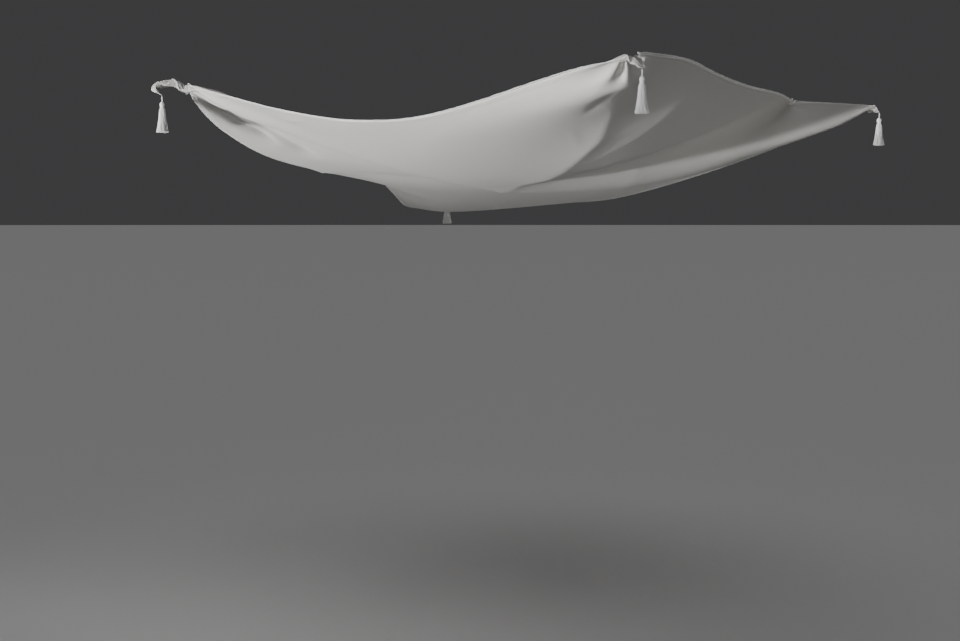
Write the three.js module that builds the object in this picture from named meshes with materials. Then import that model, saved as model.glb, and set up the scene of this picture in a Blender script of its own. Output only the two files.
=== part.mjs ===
// A square ceremonial cloth that is held up as a canopy by its gathered corners and its edges,
// with a narrow crocheted edging and a tassel at each corner. Millimetres, +Z up.
// X runs along the front edge, Y from the front edge to the back edge, and the origin is the hold
// under the arched bunch of the front left corner.
import * as THREE from 'three';

// Cloth
const clothSide = 1512;          // finished width and depth
const clothThickness = 2.4;
const gridCells = 36;            // cells along each side of the draped cloth
const gatherHalfWidth = 17;      // half of the bunched cloth's width at the neck
const gatherThickness = 9;       // bunched cloth, where it is thickest
const gatherTaper = 0.6;         // how bluntly the bunched corner narrows to its tip
const thickestShare = 0.8;       // where it is thickest, as a share of the way to the neck
const thickeningShare = 0.65;    // how far the thickening spreads, as a share of the same way

// Edging
const edgingWidth = 8;
const edgingThickness = 3;
const edgingStart = 1.2;         // cells left bare at each corner, where the cloth turns over the hold
const edgingGap = 0.9;           // between the cloth's rim and its edging
const seatGap = 0.3;             // between the touching pieces of a tassel

// Tassel, measured downwards from the point that it swings about
const cordRadius = 1.5;
const cordLength = 11;
const headRadius = 6.2;
const headLength = 12.5;
const headSteps = 8;
const bindingRadius = 5.2;
const bindingLength = 4;
const bindingBevel = 0.8;
const skirtTopRadius = 5;
const skirtLength = 62;
const skirtBulge = [[0.05, 7.4], [0.35, 9.5], [0.67, 11.8], [0.85, 14], [0.97, 16]];
const skirtEndRadius = 12;
const roundSides = 12;

// Where the corners are held: which corner of the flat cloth it is, how many grid cells of it are
// bunched, and the bunch's middle line from its tip to its neck, where the cloth opens out.
const corners = [
  {
    name: 'front_left', right: 0, back: 0, bunchedCells: 4,
    path: [[-5, -5, -10], [-18, -18, 12], [14, 14, 24], [36, 36, 10], [45, 45, 10]],
  },
  {
    name: 'front_right', right: 1, back: 0, bunchedCells: 2,
    path: [[1335, 45, -12], [1318, 55, 6], [1299, 67, 14]],
  },
  {
    name: 'back_right', right: 1, back: 1, bunchedCells: 1,
    path: [[1516, 1357, -20], [1496, 1337, -9]],
  },
  {
    name: 'back_left', right: 0, back: 1, bunchedCells: 1,
    path: [[61, 1304, -249], [81, 1284, -238]],
  },
];

// Holds along the edges: the distance along the flat edge from its front end, and the held point.
const edgeHolds = [
  { right: 1, distance: 276, at: [1340, 263, 36] },
  { right: 1, distance: 1229, at: [1297, 1210, 14] },
  { right: 0, distance: 831, at: [-7, 676, -175] },
  { right: 0, distance: 1105, at: [39, 949, -206] },
];

// Relaxation of the hanging cloth
const fallSteps = 700;
const passesPerStep = 14;
const firstFall = 0.5;           // downward move in the first step, before the threads pull back
const lastFall = 0.015;          // the same in the last step, so that the threads end unstretched
const keptMotion = 0.93;
const shearShare = 0.3;          // how firmly the cloth's diagonals hold, against its threads
const crushShare = 0.002;        // how firmly a thread resists being pushed together
const stiffnessShare = 0.012;    // how firmly the cloth resists a sharp bend
const smoothingPasses = 3;
const smoothingShare = 0.35;
const normalPasses = 4;

const cell = clothSide / gridCells;
const row = gridCells + 1;
const indexOf = (i, j) => j * row + i;

const clothColour = 0xe6e3dc;
const tasselColour = 0xf7f6f2;
const clothFinish = { color: clothColour, roughness: 0.85, metalness: 0 };
const tasselFinish = { color: tasselColour, roughness: 0.8, metalness: 0 };

const canopy = new THREE.Group();

function addPiece(name, geometry, finish) {
  const piece = new THREE.Mesh(geometry, new THREE.MeshStandardMaterial(finish));
  piece.name = name;
  canopy.add(piece);
  return piece;
}

// Cells from a grid point to a corner, along the two edges that meet there
function cellsFrom(corner, i, j) {
  return [Math.abs(i - corner.right * gridCells), Math.abs(j - corner.back * gridCells)];
}

// How far a grid point lies along a corner's bunch: 0 at the tip, 1 at the neck, more beyond it
function bunchShare(corner, i, j) {
  const [alongX, alongY] = cellsFrom(corner, i, j);
  return (alongX + alongY) / corner.bunchedCells;
}

// A point of the bunched cloth between a corner's tip and its neck
function gatheredPoint(corner, line, i, j) {
  const [alongX, alongY] = cellsFrom(corner, i, j);
  const share = bunchShare(corner, i, j);
  const side = share > 0 ? (alongX - alongY) / (alongX + alongY) : 0;
  const halfWidth = gatherHalfWidth * share ** gatherTaper;
  const inward = line.getPoint(1).sub(line.getPoint(0)).setZ(0).normalize();
  const across = new THREE.Vector3(-inward.y, inward.x, 0);
  const facing = (corner.right === corner.back ? -1 : 1);
  return line.getPointAt(share).addScaledVector(across, facing * side * halfWidth);
}

function startingPoint(i, j) {
  const necks = corners.map((corner) => new THREE.Vector3(...corner.path.at(-1)));
  const [frontLeft, frontRight, backRight, backLeft] = necks;
  const front = frontLeft.lerp(frontRight, i / gridCells);
  const back = backLeft.lerp(backRight, i / gridCells);
  return front.lerp(back, j / gridCells);
}

// The grid points of the bunched corners, as a map from grid index to place
function bunchedPoints() {
  const bunched = new Map();
  for (const corner of corners) {
    const line = new THREE.CatmullRomCurve3(corner.path.map((p) => new THREE.Vector3(...p)));
    for (let j = 0; j <= gridCells; j += 1) {
      for (let i = 0; i <= gridCells; i += 1) {
        if (bunchShare(corner, i, j) <= 1) bunched.set(indexOf(i, j), gatheredPoint(corner, line, i, j));
      }
    }
  }
  return bunched;
}

// Threads between neighbouring grid points: [first, second, length, pull share, push share]
function clothThreads() {
  const threads = [];
  const connect = (i, j, di, dj, pull, push) => {
    if (i + di < 0 || i + di > gridCells || j + dj > gridCells) return;
    threads.push([indexOf(i, j), indexOf(i + di, j + dj), Math.hypot(di, dj) * cell, pull, push]);
  };
  for (let j = 0; j <= gridCells; j += 1) {
    for (let i = 0; i <= gridCells; i += 1) {
      connect(i, j, 1, 0, 1, crushShare);
      connect(i, j, 0, 1, 1, crushShare);
      connect(i, j, 1, 1, shearShare, crushShare);
      connect(i, j, -1, 1, shearShare, crushShare);
      connect(i, j, 2, 0, stiffnessShare, stiffnessShare);
      connect(i, j, 0, 2, stiffnessShare, stiffnessShare);
    }
  }
  return threads;
}

function pullThread(points, free, thread) {
  const [first, second, length, pull, push] = thread;
  const gap = points[second].clone().sub(points[first]);
  const distance = gap.length();
  const share = distance > length ? pull : push;
  const weight = free[first] + free[second];
  if (weight === 0) return;
  gap.multiplyScalar((share * (distance - length)) / (distance * weight));
  points[first].addScaledVector(gap, free[first]);
  points[second].addScaledVector(gap, -free[second]);
}

// Brings the held place of an edge back to its hold, between two grid points of that edge
function pullToHold(points, hold) {
  const near = Math.floor(hold.distance / cell);
  const beyond = hold.distance / cell - near;
  const first = points[indexOf(hold.right * gridCells, near)];
  const second = points[indexOf(hold.right * gridCells, near + 1)];
  const gap = new THREE.Vector3(...hold.at).sub(first.clone().lerp(second, beyond));
  gap.divideScalar((1 - beyond) ** 2 + beyond ** 2);
  first.addScaledVector(gap, 1 - beyond);
  second.addScaledVector(gap, beyond);
}

function smoothCloth(points, free) {
  for (let pass = 0; pass < smoothingPasses; pass += 1) {
    const before = points.map((p) => p.clone());
    for (let j = 0; j <= gridCells; j += 1) {
      for (let i = 0; i <= gridCells; i += 1) {
        const k = indexOf(i, j);
        if (free[k] === 0) continue;
        const near = [];
        if (i > 0 && i < gridCells) near.push(before[k - 1], before[k + 1]);
        if (j > 0 && j < gridCells) near.push(before[k - row], before[k + row]);
        const middle = new THREE.Vector3();
        near.forEach((p) => middle.addScaledVector(p, 1 / near.length));
        if (near.length > 0) points[k].lerp(middle, smoothingShare);
      }
    }
  }
}

// The middle surface of the cloth as it hangs from its holds
function drapeCloth() {
  const points = [];
  for (let j = 0; j <= gridCells; j += 1) {
    for (let i = 0; i <= gridCells; i += 1) points.push(startingPoint(i, j));
  }
  const bunched = bunchedPoints();
  const free = points.map((p, k) => (bunched.has(k) ? 0 : 1));
  bunched.forEach((place, k) => points[k].copy(place));
  const threads = clothThreads();
  let before = points.map((p) => p.clone());
  for (let step = 0; step < fallSteps; step += 1) {
    const now = points.map((p) => p.clone());
    points.forEach((p, k) => {
      if (free[k] === 0) return;
      p.addScaledVector(now[k].clone().sub(before[k]), keptMotion);
      p.z -= firstFall * (lastFall / firstFall) ** (step / fallSteps);
    });
    before = now;
    for (let pass = 0; pass < passesPerStep; pass += 1) {
      threads.forEach((thread) => pullThread(points, free, thread));
      edgeHolds.forEach((hold) => pullToHold(points, hold));
    }
  }
  smoothCloth(points, free);
  return points;
}

function thicknessAt(i, j) {
  let thickness = clothThickness;
  for (const corner of corners) {
    const beside = (bunchShare(corner, i, j) - thickestShare) / thickeningShare;
    thickness += (gatherThickness - clothThickness) * Math.exp(-(beside ** 2));
  }
  return thickness;
}

// Upward normals of the middle surface, evened out over neighbouring points
function surfaceNormals(points) {
  let normals = points.map((p, k) => {
    const i = k % row;
    const j = Math.floor(k / row);
    const alongX = points[indexOf(Math.min(i + 1, gridCells), j)].clone()
      .sub(points[indexOf(Math.max(i - 1, 0), j)]);
    const alongY = points[indexOf(i, Math.min(j + 1, gridCells))].clone()
      .sub(points[indexOf(i, Math.max(j - 1, 0))]);
    return alongX.cross(alongY).normalize();
  });
  for (let pass = 0; pass < normalPasses; pass += 1) {
    normals = normals.map((normal, k) => {
      const i = k % row;
      const j = Math.floor(k / row);
      const sum = normal.clone();
      if (i > 0) sum.add(normals[k - 1]);
      if (i < gridCells) sum.add(normals[k + 1]);
      if (j > 0) sum.add(normals[k - row]);
      if (j < gridCells) sum.add(normals[k + row]);
      return sum.normalize();
    });
  }
  return normals;
}

// A closed solid from its points and its triangles
function solidFrom(positions, faces) {
  const geometry = new THREE.BufferGeometry();
  geometry.setAttribute('position', new THREE.Float32BufferAttribute(positions.flatMap((p) => p.toArray()), 3));
  geometry.setIndex(faces.flat());
  geometry.computeVertexNormals();
  return geometry;
}

// The two places on the cloth's upper and lower faces at a grid point
function facePoints(points, normals, k) {
  const half = thicknessAt(k % row, Math.floor(k / row)) / 2;
  return [half, -half].map((offset) => points[k].clone().addScaledVector(normals[k], offset));
}

// The cloth as a thin closed solid around its middle surface
function clothSolid(points, normals) {
  const above = points.map((p, k) => facePoints(points, normals, k)[0]);
  const below = points.map((p, k) => facePoints(points, normals, k)[1]);
  const under = points.length;
  const faces = [];
  for (let j = 0; j < gridCells; j += 1) {
    for (let i = 0; i < gridCells; i += 1) {
      const [a, b, c, d] = [indexOf(i, j), indexOf(i + 1, j), indexOf(i + 1, j + 1), indexOf(i, j + 1)];
      const halves = (i + j) % 2 === 0 ? [[a, b, c], [a, c, d]] : [[a, b, d], [b, c, d]];
      for (const [p, q, r] of halves) {
        faces.push([p, q, r], [under + r, under + q, under + p]);
      }
    }
  }
  const rim = [];
  for (let i = 0; i < gridCells; i += 1) rim.push(indexOf(i, 0));
  for (let j = 0; j < gridCells; j += 1) rim.push(indexOf(gridCells, j));
  for (let i = gridCells; i > 0; i -= 1) rim.push(indexOf(i, gridCells));
  for (let j = gridCells; j > 0; j -= 1) rim.push(indexOf(0, j));
  rim.forEach((a, k) => {
    const b = rim[(k + 1) % rim.length];
    faces.push([a, under + a, under + b], [a, under + b, b]);
  });
  return solidFrom([...above, ...below], faces);
}

// The rim's grid point at each station along one edge
const sides = {
  front: (k) => indexOf(k, 0),
  right: (k) => indexOf(gridCells, k),
  back: (k) => indexOf(gridCells - k, gridCells),
  left: (k) => indexOf(0, gridCells - k),
};

// The flat edging that runs outside one edge of the cloth
function edgingSolid(points, normals, station) {
  const rings = [];
  const edgePoint = (k) => {
    const low = Math.min(Math.floor(k), gridCells - 1);
    const [a, b] = [station(low), station(low + 1)];
    return {
      place: points[a].clone().lerp(points[b], k - low),
      normal: normals[a].clone().lerp(normals[b], k - low).normalize(),
    };
  };
  const places = [edgingStart];
  for (let k = Math.ceil(edgingStart); k < gridCells - edgingStart; k += 1) places.push(k);
  places.push(gridCells - edgingStart);
  for (const k of places) {
    const { place, normal } = edgePoint(k);
    const ahead = edgePoint(Math.min(k + 0.5, gridCells)).place;
    const along = ahead.sub(edgePoint(Math.max(k - 0.5, 0)).place).normalize();
    const outward = along.clone().cross(normal).normalize();
    const inner = place.clone().addScaledVector(outward, edgingGap);
    const outer = place.clone().addScaledVector(outward, edgingGap + edgingWidth);
    const lift = normal.clone().multiplyScalar(edgingThickness / 2);
    rings.push([
      inner.clone().sub(lift), outer.clone().sub(lift),
      outer.clone().add(lift), inner.clone().add(lift),
    ]);
  }
  const faces = [[0, 1, 2], [0, 2, 3]];
  for (let k = 0; k + 1 < rings.length; k += 1) {
    for (let s = 0; s < 4; s += 1) {
      const [a, b] = [4 * k + s, 4 * k + ((s + 1) % 4)];
      faces.push([a, b + 4, b], [a, a + 4, b + 4]);
    }
  }
  const last = 4 * (rings.length - 1);
  faces.push([last, last + 2, last + 1], [last, last + 3, last + 2]);
  return solidFrom(rings.flat(), faces);
}

// A turned solid hanging down from z = 0, from [radius, depth] pairs
function turnedSolid(profile) {
  const outline = profile.map(([radius, depth]) => new THREE.Vector2(radius, -depth)).reverse();
  const geometry = new THREE.LatheGeometry(outline, roundSides);
  geometry.rotateX(Math.PI / 2);
  return geometry;
}

// The outline of a tassel's rounded head
function headProfile(top) {
  const profile = [];
  for (let k = 0; k <= headSteps; k += 1) {
    const turn = (Math.PI * k) / headSteps;
    profile.push([headRadius * Math.sin(turn), top + (headLength * (1 - Math.cos(turn))) / 2]);
  }
  return profile;
}

function bindingProfile(top) {
  const end = top + bindingLength;
  const bevelled = bindingRadius - bindingBevel;
  return [
    [0, top], [bevelled, top], [bindingRadius, top + bindingBevel],
    [bindingRadius, end - bindingBevel], [bevelled, end], [0, end],
  ];
}

function skirtProfile(top) {
  const bulge = skirtBulge.map(([share, radius]) => [radius, top + share * skirtLength]);
  const end = top + skirtLength;
  return [[0, top], [skirtTopRadius, top], ...bulge, [skirtEndRadius, end], [0, end]];
}

// The tassel hangs from the lower of the two points at the cloth's corner
function addTassel(corner, points, normals) {
  const atCorner = indexOf(corner.right * gridCells, corner.back * gridCells);
  const [top] = facePoints(points, normals, atCorner).sort((a, b) => a.z - b.z);
  top.z -= seatGap + cordRadius;
  const headTop = cordLength + seatGap;
  const bindingTop = headTop + headLength + seatGap;
  const skirtTop = bindingTop + bindingLength + seatGap;
  const slopingShare = Math.SQRT1_2;
  const pieces = {
    tassel_cord: [
      [0, -cordRadius], [slopingShare * cordRadius, -slopingShare * cordRadius],
      [cordRadius, 0], [cordRadius, cordLength], [0, cordLength],
    ],
    tassel_head: headProfile(headTop),
    tassel_binding: bindingProfile(bindingTop),
    tassel_skirt: skirtProfile(skirtTop),
  };
  for (const [name, profile] of Object.entries(pieces)) {
    addPiece(`${name}_${corner.name}`, turnedSolid(profile), tasselFinish).position.copy(top);
  }
}

const draped = drapeCloth();
const drapedNormals = surfaceNormals(draped);
addPiece('canopy_cloth', clothSolid(draped, drapedNormals), clothFinish);
for (const [name, station] of Object.entries(sides)) {
  addPiece(`edging_${name}`, edgingSolid(draped, drapedNormals, station), tasselFinish);
}
corners.forEach((corner) => addTassel(corner, draped, drapedNormals));

export default canopy;
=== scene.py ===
import math
import time

import bpy
import numpy as np
from mathutils import Matrix, Vector
from mathutils.bvhtree import BVHTree


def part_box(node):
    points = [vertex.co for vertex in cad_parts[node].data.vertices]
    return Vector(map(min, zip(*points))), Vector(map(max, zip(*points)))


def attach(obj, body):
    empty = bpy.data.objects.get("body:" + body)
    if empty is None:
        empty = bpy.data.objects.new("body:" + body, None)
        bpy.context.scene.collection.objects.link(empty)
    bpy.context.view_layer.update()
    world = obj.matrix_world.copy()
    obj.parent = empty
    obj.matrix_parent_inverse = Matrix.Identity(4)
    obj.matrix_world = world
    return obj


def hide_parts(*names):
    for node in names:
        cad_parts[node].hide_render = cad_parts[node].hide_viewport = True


# A square ceremonial cloth held by its gathered corners and edges, with a crocheted edging
# and a tassel at each corner. Metres, +Z up. The origin is the hold in the front left corner.

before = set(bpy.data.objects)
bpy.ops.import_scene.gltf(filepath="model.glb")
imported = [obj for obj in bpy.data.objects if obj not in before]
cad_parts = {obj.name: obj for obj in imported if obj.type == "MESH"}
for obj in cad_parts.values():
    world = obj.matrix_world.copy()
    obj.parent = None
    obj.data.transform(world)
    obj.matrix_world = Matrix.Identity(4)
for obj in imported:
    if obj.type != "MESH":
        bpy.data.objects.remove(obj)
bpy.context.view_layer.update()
startTime = time.time()


def report(words):
    print(f"[{time.time() - startTime:6.1f} s] {words}")


def addObject(name, data):
    added = bpy.data.objects.new(name, data)
    bpy.context.scene.collection.objects.link(added)
    return added


# Adds a node, sets its options, and feeds its inputs with values or with other sockets
def addNode(tree, kind, inputs=None, **settings):
    node = tree.nodes.new(kind)
    for option, value in settings.items():
        setattr(node, option, value)
    for key, value in (inputs or {}).items():
        if isinstance(value, bpy.types.NodeSocket):
            tree.links.new(value, node.inputs[key])
        else:
            node.inputs[key].default_value = value
    return node


# The first output of a new node
def output(tree, kind, inputs=None, **settings):
    return addNode(tree, kind, inputs, **settings).outputs[0]


def maths(tree, operation, *values):
    return output(tree, "ShaderNodeMath", dict(enumerate(values)), operation=operation)


textile = {
    "sheenRoughness": 0.45,
    "specular": 0.35,
}


def newMaterial(name, roughness, sheen):
    material = bpy.data.materials.new(name)
    material.use_nodes = True
    shader = material.node_tree.nodes["Principled BSDF"]
    shader.inputs["Roughness"].default_value = roughness
    shader.inputs["Sheen Weight"].default_value = sheen
    shader.inputs["Sheen Roughness"].default_value = textile["sheenRoughness"]
    shader.inputs["Specular IOR Level"].default_value = textile["specular"]
    return material, material.node_tree, shader


# A colour between a dark and a light tone, by a factor from 0 to 1
def toneBetween(tree, factor, dark, light):
    ramp = addNode(tree, "ShaderNodeValToRGB", {"Fac": factor})
    ramp.color_ramp.elements[0].color = (*dark, 1)
    ramp.color_ramp.elements[1].color = (*light, 1)
    return ramp.outputs[0]


# Camera and studio

photoView = {
    "place": (2.485, -2.599, -0.341),
    "heading": (-0.5063, 0.8623),  # level direction that the camera looks along
    "pitch": -4.23,                # degrees, downwards
    "lens": 49.6,                  # millimetres, on a sensor 36 wide
    "sensor": 36,
    "farthest": 2000,
}
studio = {
    "worldColour": (0.30, 0.30, 0.31),
    "worldStrength": 0.17,
    "floorLevel": -1.391,
    "floorColour": (0.82, 0.82, 0.81),
    "floorRadius": 600,
    "floorSides": 48,
    "floorRoughness": 0.9,
    # Each panel: place, aim, width, height, watts, spread in degrees. The key's rays are nearly
    # parallel: they light the near side and leave the underside below the main fold dim.
    "key": ((-1.1, -3.9, -0.62), (0.68, 0.5, -0.01), 1.5, 0.42, 4.5, 5),
    "fill": ((2.9, -3.4, -0.30), (0.9, 0.5, -0.15), 1.3, 0.8, 0.6, 26),
    "back": ((1.9, 4.3, 1.7), (0.7, 0.6, -0.1), 1.4, 1.0, 3.5, 28),
    "edge": ((-0.5, 4.0, 1.7), (1.28, 1.0, -0.03), 0.5, 0.4, 1.2, 12),
    "overheadStrength": 0.45,
    "overheadSoftness": 70,  # degrees
}


def makeCamera():
    data = bpy.data.cameras.new("photoCamera")
    data.lens = photoView["lens"]
    data.sensor_width = photoView["sensor"]
    data.clip_end = photoView["farthest"]
    camera = addObject("photoCamera", data)
    pitch = math.radians(photoView["pitch"])
    headingX, headingY = photoView["heading"]
    aim = Vector((headingX * math.cos(pitch), headingY * math.cos(pitch), math.sin(pitch)))
    camera.location = photoView["place"]
    camera.rotation_euler = aim.to_track_quat("-Z", "Y").to_euler()
    bpy.context.scene.camera = camera


def addPanel(name):
    place, aim, width, height, watts, spread = studio[name]
    data = bpy.data.lights.new(name, "AREA")
    data.shape = "RECTANGLE"
    data.size = width
    data.size_y = height
    data.energy = watts
    data.spread = math.radians(spread)
    panel = addObject(name, data)
    panel.location = place
    panel.rotation_euler = (Vector(aim) - Vector(place)).to_track_quat("-Z", "Y").to_euler()


def makeStudio():
    world = bpy.data.worlds.new("paleRoom")
    bpy.context.scene.world = world
    world.use_nodes = True
    background = world.node_tree.nodes["Background"]
    background.inputs["Color"].default_value = (*studio["worldColour"], 1)
    background.inputs["Strength"].default_value = studio["worldStrength"]
    for name in ("key", "fill", "back", "edge"):
        addPanel(name)
    overhead = bpy.data.lights.new("overhead", "SUN")
    overhead.energy = studio["overheadStrength"]
    overhead.angle = math.radians(studio["overheadSoftness"])
    addObject("overhead", overhead)
    radius, level, sides = studio["floorRadius"], studio["floorLevel"], studio["floorSides"]
    turns = [2 * math.pi * k / sides for k in range(sides)]
    rim = [(radius * math.cos(turn), radius * math.sin(turn), level) for turn in turns]
    mesh = bpy.data.meshes.new("floor")
    mesh.from_pydata(rim, [], [tuple(range(sides))])
    material, _, shader = newMaterial("paleFloor", studio["floorRoughness"], 0.0)
    shader.inputs["Base Color"].default_value = (*studio["floorColour"], 1)
    mesh.materials.append(material)
    addObject("floor", mesh)


makeCamera()
makeStudio()
report("camera and studio")

# The hanging cloth

cloth = {
    "side": 1.512,             # finished width and depth of the flat cloth
    "thickness": 0.0005,
    "hemWidth": 0.009,
    "hemThickness": 0.0016,
    "hemLines": (0, 0.25, 0.85, 1.0, 1.12),  # grid lines across the hem and its slope, in hem widths
    "hemGap": 0.002,           # from the last of them to the next grid line, at least
    "edgeStep": 0.0052,        # spacing of the relaxed grid near the edges
    "middleStep": 0.0088,      # and in the middle
    "edgeBand": 0.085,         # width of the closely spaced band
    "fineEdgeStep": 0.0044,    # spacing of the finished sheet near the edges
    "fineMiddleStep": 0.0079,  # and in the middle
    "gatherHalfWidth": 0.019,  # of a bunched corner, at its neck
    "gatherTaper": 0.45,       # power by which it widens from tip to neck
    "gatherPoints": 80,        # along the middle line of a bunch
    "leastShare": 0.02,        # of the way from tip to neck, so that the tip stays finite
    "mostKept": 0.98,          # share of its flat width that bunched cloth keeps at most
    "pleatPeriod": 0.036,      # flat cloth taken up by one pleat of a gathered corner
    "pleatFullness": 0.85,
    "pleatSharpness": 0.93,    # 1 folds the pleats to a sharp zigzag
    "pleatDrift": 0.9,         # radians that pleats wander from an even spacing
    "pleatDriftRate": 1.7,
    "pleatDriftShift": 40,     # sets each corner's pleats apart from the others'
    "pleatUnevenness": 0.35,   # share that pleats differ in height
    "pleatUnevenRate": 55,
    "pleatUnevenShift": 90,
    "pleatStart": 3,           # pleats are full from a third of the way to the neck
    "pinchLength": 0.014,      # along the edge, to each side of a hold
    "pinchDepth": 0.016,       # inwards from the edge
    "pinchShare": 0.45,        # length that a pinched edge keeps
    "pinchFold": 0.0055,       # height of the fold over the middle of a hold
    "pinchReach": 0.8,         # share of its depth that pinched cloth keeps inwards
    "pinchDrop": 0.5,          # and share of it by which the cloth drops
}

# Each held corner: which corner of the flat cloth it is, how far along the corner's diagonal the
# cloth is bunched, and the bunch's middle line from the tip to the neck, where the cloth opens.
corners = [
    {"name": "FrontLeft", "node": "front_left", "right": 0, "back": 0, "reach": 0.1188,
     "path": ((-0.005, -0.005, -0.010), (-0.018, -0.018, 0.012), (0.014, 0.014, 0.024),
              (0.036, 0.036, 0.010), (0.045, 0.045, 0.010))},
    {"name": "FrontRight", "node": "front_right", "right": 1, "back": 0, "reach": 0.0594,
     "path": ((1.335, 0.045, -0.012), (1.318, 0.055, 0.006), (1.299, 0.067, 0.014))},
    {"name": "BackRight", "node": "back_right", "right": 1, "back": 1, "reach": 0.0297,
     "path": ((1.516, 1.357, -0.020), (1.496, 1.337, -0.009))},
    {"name": "BackLeft", "node": "back_left", "right": 0, "back": 1, "reach": 0.0297,
     "path": ((0.061, 1.304, -0.249), (0.081, 1.284, -0.238))},
]

# Holds along the edges: the distance along the flat edge from its front end, and the held point
edgeHolds = [
    {"right": 1, "distance": 0.276, "at": (1.340, 0.263, 0.036)},
    {"right": 1, "distance": 1.229, "at": (1.297, 1.210, 0.014)},
    {"right": 0, "distance": 0.831, "at": (-0.007, 0.676, -0.175)},
    {"right": 0, "distance": 1.105, "at": (0.039, 0.949, -0.206)},
]

# A fall is in metres a step, and a point keeps a share of its motion. Shear, push and bend are how
# strongly slanting threads pull, squeezed threads push and folds open, from 0 to 1. Settle is the
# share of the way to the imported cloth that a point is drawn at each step.
coarseDrape = {
    "cells": 36, "steps": 600, "passes": 24, "firstFall": 0.0005, "lastFall": 0.000012,
    "kept": 0.93, "shear": 0.3, "push": 0.002, "bend": 0.012, "settle": 0,
}
settledDrape = {
    "steps": 60, "passes": 12, "firstFall": 0.0, "lastFall": 0.0,
    "kept": 0.5, "shear": 0.3, "push": 0.02, "bend": 0.03, "settle": 0.25,
}
fineDrape = {
    "steps": 160, "passes": 6, "firstFall": 0.000002, "lastFall": 0.000001,
    "kept": 0.85, "shear": 0.35, "push": 0.05, "bend": 0.10, "settle": 0,
}
evenedOut = {
    "passes": 40, "share": 0.5, "fromCorner": 0.10, "fade": 0.22, "fromHold": 0.03,
    # The cloth is pulled taut here: centre on the flat cloth, half width, half depth, passes
    "taut": [((1.20, 0.26), 0.40, 0.24, 420)],
    "tautEdge": 1.6,   # how soon the taut part begins inside its outline
    "heldFade": 0.16,  # around the front right corner, which stays as it hangs
    "heldStart": 0.6,  # where that fade begins, as a share of it
}


# The flat coordinates of the grid lines, closer together near the edges
def gridLines(edgeStep, middleStep, band, fade=0.06):
    lines = [0.0]
    half = cloth["side"] / 2
    while lines[-1] < half:
        share = min(max((lines[-1] - band) / fade, 0), 1)
        lines.append(lines[-1] + edgeStep + (middleStep - edgeStep) * share * share * (3 - 2 * share))
    lines = np.array(lines) * half / lines[-1]
    return np.concatenate([lines, cloth["side"] - lines[-2::-1]])


# Weights that read a smooth surface on oldLines at newLines
def cubicWeights(newLines, oldLines):
    weights = np.zeros((len(newLines), len(oldLines)))
    last = len(oldLines) - 1
    for row, place in enumerate(newLines):
        k = min(max(int(np.searchsorted(oldLines, place, side="right")) - 1, 0), last - 1)
        t = (place - oldLines[k]) / (oldLines[k + 1] - oldLines[k])
        parts = [
            (k - 1, -0.5 * t + t * t - 0.5 * t ** 3),
            (k, 1 - 2.5 * t * t + 1.5 * t ** 3),
            (k + 1, 0.5 * t + 2 * t * t - 1.5 * t ** 3),
            (k + 2, -0.5 * t * t + 0.5 * t ** 3),
        ]
        for index, weight in parts:
            if index < 0:
                weights[row, 0] += 2 * weight
                weights[row, 1] -= weight
            elif index > last:
                weights[row, last] += 2 * weight
                weights[row, last - 1] -= weight
            else:
                weights[row, index] += weight
    return weights


def resample(surface, newLines, oldLines):
    weights = cubicWeights(newLines, oldLines)
    return np.einsum("ja,iab,lb->ijl", weights, surface, weights, optimize=True)


# Places along a bunch's middle line, with the directions along it, across it and out of it
def bunchFrame(corner, shares):
    points = np.array(corner["path"])
    marks = np.concatenate([[0], np.cumsum(np.linalg.norm(np.diff(points, axis=0), axis=1))])
    line = cubicWeights(np.linspace(0, marks[-1], cloth["gatherPoints"]), marks) @ points
    walked = np.concatenate([[0], np.cumsum(np.linalg.norm(np.diff(line, axis=0), axis=1))])
    ahead = np.gradient(line, axis=0)
    ahead /= np.linalg.norm(ahead, axis=1)[:, None]
    level = points[-1] - points[0]
    level[2] = 0
    level /= np.linalg.norm(level)
    across = np.array((-level[1], level[0], 0))
    if corner["right"] == corner["back"]:
        across = -across
    outward = np.cross(ahead, across)
    outward /= np.linalg.norm(outward, axis=1)[:, None]
    outward *= np.sign(outward[-1, 2])
    middle = [np.stack([np.interp(shares, walked / walked[-1], values[:, k]) for k in range(3)])
              for values in (line, outward)]
    return middle[0], across[:, None, None], middle[1]


# Places of the bunched cloth between a corner's tip and its neck
def gatheredSurface(corner, alongX, alongY, pleated):
    side = cloth["side"]
    distanceX = np.abs(alongX - corner["right"] * side)
    distanceY = np.abs(alongY - corner["back"] * side)
    reach = (distanceX + distanceY) / math.sqrt(2)
    sideways = (distanceX - distanceY) / math.sqrt(2)
    share = reach / corner["reach"]
    squeeze = cloth["gatherHalfWidth"] / corner["reach"]
    squeeze = squeeze * np.maximum(share, cloth["leastShare"]) ** (cloth["gatherTaper"] - 1)
    squeeze = np.minimum(squeeze, cloth["mostKept"])
    middle, across, outward = bunchFrame(corner, np.minimum(share, 1))
    places = middle + across * (squeeze * sideways)
    if pleated:
        period = cloth["pleatPeriod"]
        shift = corner["reach"] * cloth["pleatDriftShift"]
        drift = np.sin(sideways / period * cloth["pleatDriftRate"] + shift)
        phase = 2 * math.pi * sideways / period + cloth["pleatDrift"] * drift
        sharpness = cloth["pleatSharpness"]
        wave = np.arcsin(sharpness * np.sin(phase)) / math.asin(sharpness)
        height = np.sqrt(1 - squeeze ** 2) * period / 4 * cloth["pleatFullness"]
        shift = corner["reach"] * cloth["pleatUnevenShift"]
        unevenness = 1 - cloth["pleatUnevenness"] * np.cos(sideways * cloth["pleatUnevenRate"] + shift)
        begun = np.clip(share * cloth["pleatStart"], 0, 1)
        places = places + outward * (height * unevenness * wave * begun)
    return places, reach


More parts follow.
